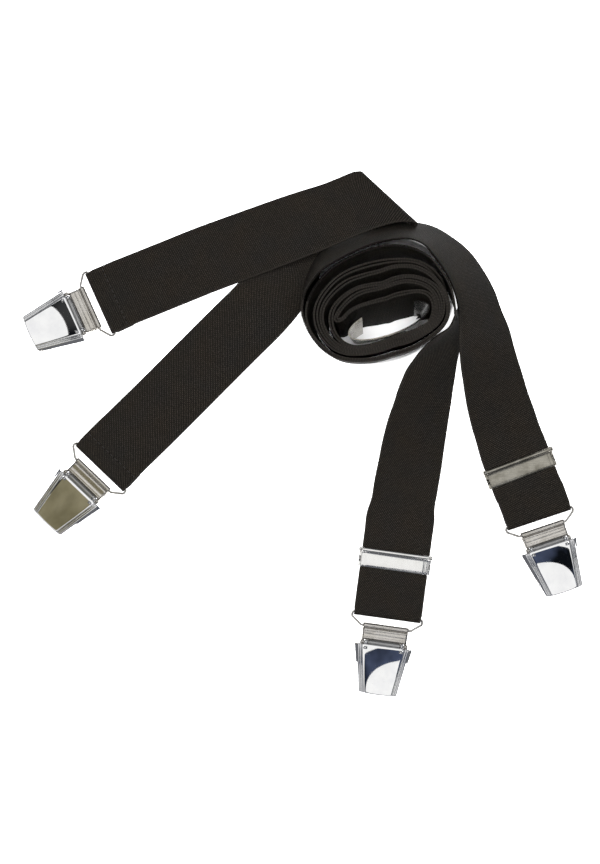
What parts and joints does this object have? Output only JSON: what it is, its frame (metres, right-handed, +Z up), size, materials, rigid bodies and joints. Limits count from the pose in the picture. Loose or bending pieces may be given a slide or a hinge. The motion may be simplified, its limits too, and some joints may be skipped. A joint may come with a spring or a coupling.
{
  "type": "suspenders",
  "caption": "Elastic trouser suspenders, rolled into an oval coil with four flat strap ends, each ending in a wire loop and a lever clip; sliding adjusters on the front ends.",
  "frame": {"origin": "on the resting surface, under the centre of the whole object's bounding box", "axes": "+Z up from the resting surface; +X from the sewn back ends towards the adjuster ends; +Y from the lower clips towards the fold of strap 1"},
  "size_m": [0.2888, 0.2708, 0.0346],
  "materials": {
    "webbing": "fine diagonal twill elastic, matt",
    "thread": "polyester sewing thread",
    "chrome": "bright plated, polished",
    "nickel_sheet": "nickel plated sheet, brushed",
    "nickel_wire": "nickel plated wire",
    "jaw_steel": "pressed steel, plated"
  },
  "bodies": {
    "webbing": {"webbing_coil": "webbing", "cross_keeper": "nickel_sheet", "strap_1_run": "webbing", "strap_2_run": "webbing", "strap_3_run": "webbing", "strap_4_run": "webbing", "strap_1_fold": "webbing", "strap_2_fold": "webbing", "strap_3_fold": "webbing", "strap_4_fold": "webbing", "strap_1_tuck": "webbing", "strap_3_return": "webbing", "strap_4_return": "webbing", "seam_1": "thread", "seam_2": "thread"},
    "loop_1": {"wire_loop_1": "nickel_wire"},
    "clip_1": {"clip_plate_1": "nickel_sheet", "clip_pin_1": "nickel_wire"},
    "cover_1": {"clip_cover_1": "chrome"},
    "jaw_1": {"clip_jaw_1": "jaw_steel"},
    "loop_2": {"wire_loop_2": "nickel_wire"},
    "clip_2": {"clip_plate_2": "nickel_sheet", "clip_pin_2": "nickel_wire"},
    "cover_2": {"clip_cover_2": "chrome"},
    "jaw_2": {"clip_jaw_2": "jaw_steel"},
    "loop_3": {"wire_loop_3": "nickel_wire"},
    "clip_3": {"clip_plate_3": "nickel_sheet", "clip_pin_3": "nickel_wire"},
    "cover_3": {"clip_cover_3": "chrome"},
    "jaw_3": {"clip_jaw_3": "jaw_steel"},
    "loop_4": {"wire_loop_4": "nickel_wire"},
    "clip_4": {"clip_plate_4": "nickel_sheet", "clip_pin_4": "nickel_wire"},
    "cover_4": {"clip_cover_4": "chrome"},
    "jaw_4": {"clip_jaw_4": "jaw_steel"},
    "adjuster_3": {"adjuster_frame_3": "nickel_sheet", "adjuster_pin_3": "nickel_wire"},
    "flap_3": {"adjuster_flap_3": "nickel_sheet"},
    "adjuster_4": {"adjuster_frame_4": "nickel_sheet", "adjuster_pin_4": "nickel_wire"},
    "flap_4": {"adjuster_flap_4": "nickel_sheet"}
  },
  "joints": [
    {"name": "loop_swing_1", "type": "hinge", "parent": "webbing", "child": "loop_1", "pos_m": [-0.10416, 0.0675, 0.002], "axis": [-0.4147, 0.91, 0], "range_deg": [0, 60]},
    {"name": "clip_swing_1", "type": "hinge", "parent": "loop_1", "child": "clip_1", "pos_m": [-0.11017, 0.06476, 0.002], "axis": [-0.4147, 0.91, 0], "range_deg": [0, 35]},
    {"name": "cover_lift_1", "type": "hinge", "parent": "clip_1", "child": "cover_1", "pos_m": [-0.11781, 0.06128, 0.0036], "axis": [-0.4147, 0.91, 0], "range_deg": [0, 85]},
    {"name": "jaw_open_1", "type": "hinge", "parent": "clip_1", "child": "jaw_1", "pos_m": [-0.11781, 0.06128, 0.0036], "axis": [-0.4147, 0.91, 0], "range_deg": [0, 12.75]},
    {"name": "loop_swing_2", "type": "hinge", "parent": "webbing", "child": "loop_2", "pos_m": [-0.10346, -0.0179, 0.002], "axis": [-0.723, 0.6909, 0], "range_deg": [0, 60]},
    {"name": "clip_swing_2", "type": "hinge", "parent": "loop_2", "child": "clip_2", "pos_m": [-0.10802, -0.02267, 0.002], "axis": [-0.723, 0.6909, 0], "range_deg": [0, 35]},
    {"name": "cover_lift_2", "type": "hinge", "parent": "clip_2", "child": "cover_2", "pos_m": [-0.11382, -0.02874, 0.0036], "axis": [-0.723, 0.6909, 0], "range_deg": [0, 85]},
    {"name": "jaw_open_2", "type": "hinge", "parent": "clip_2", "child": "jaw_2", "pos_m": [-0.11382, -0.02874, 0.0036], "axis": [-0.723, 0.6909, 0], "range_deg": [0, 12.75]},
    {"name": "loop_swing_3", "type": "hinge", "parent": "webbing", "child": "loop_3", "pos_m": [0.04384, -0.0947, 0.002], "axis": [-0.9907, 0.1357, 0], "range_deg": [0, 60]},
    {"name": "clip_swing_3", "type": "hinge", "parent": "loop_3", "child": "clip_3", "pos_m": [0.04294, -0.10124, 0.002], "axis": [-0.9907, 0.1357, 0], "range_deg": [0, 35]},
    {"name": "cover_lift_3", "type": "hinge", "parent": "clip_3", "child": "cover_3", "pos_m": [0.0418, -0.10956, 0.0036], "axis": [-0.9907, 0.1357, 0], "range_deg": [0, 85]},
    {"name": "jaw_open_3", "type": "hinge", "parent": "clip_3", "child": "jaw_3", "pos_m": [0.0418, -0.10956, 0.0036], "axis": [-0.9907, 0.1357, 0], "range_deg": [0, 12.75]},
    {"name": "loop_swing_4", "type": "hinge", "parent": "webbing", "child": "loop_4", "pos_m": [0.12184, -0.0441, 0.002], "axis": [-0.9489, -0.3156, 0], "range_deg": [0, 60]},
    {"name": "clip_swing_4", "type": "hinge", "parent": "loop_4", "child": "clip_4", "pos_m": [0.12392, -0.05036, 0.002], "axis": [-0.9489, -0.3156, 0], "range_deg": [0, 35]},
    {"name": "cover_lift_4", "type": "hinge", "parent": "clip_4", "child": "cover_4", "pos_m": [0.12657, -0.05833, 0.0036], "axis": [-0.9489, -0.3156, 0], "range_deg": [0, 85]},
    {"name": "jaw_open_4", "type": "hinge", "parent": "clip_4", "child": "jaw_4", "pos_m": [0.12657, -0.05833, 0.0036], "axis": [-0.9489, -0.3156, 0], "range_deg": [0, 12.75]},
    {"name": "adjuster_slide_3", "type": "slide", "parent": "webbing", "child": "adjuster_3", "axis": [-0.1357, -0.9907, 0], "range_m": [-0.018, 0.009]},
    {"name": "flap_open_3", "type": "hinge", "parent": "adjuster_3", "child": "flap_3", "pos_m": [0.04814, -0.0633, 0.0045], "axis": [-0.9907, 0.1357, 0], "range_deg": [0, 95]},
    {"name": "adjuster_slide_4", "type": "slide", "parent": "webbing", "child": "adjuster_4", "axis": [0.3486, -0.9373, 0], "range_m": [-0.006, 0.006]},
    {"name": "flap_open_4", "type": "hinge", "parent": "adjuster_4", "child": "flap_4", "pos_m": [0.11134, -0.0156, 0.0045], "axis": [-0.9373, -0.3486, 0], "range_deg": [0, 95]}
  ],
  "couplings": [
    {"joint": "jaw_open_1", "follows": "cover_lift_1", "ratio": 0.15},
    {"joint": "jaw_open_2", "follows": "cover_lift_2", "ratio": 0.15},
    {"joint": "jaw_open_3", "follows": "cover_lift_3", "ratio": 0.15},
    {"joint": "jaw_open_4", "follows": "cover_lift_4", "ratio": 0.15}
  ]
}
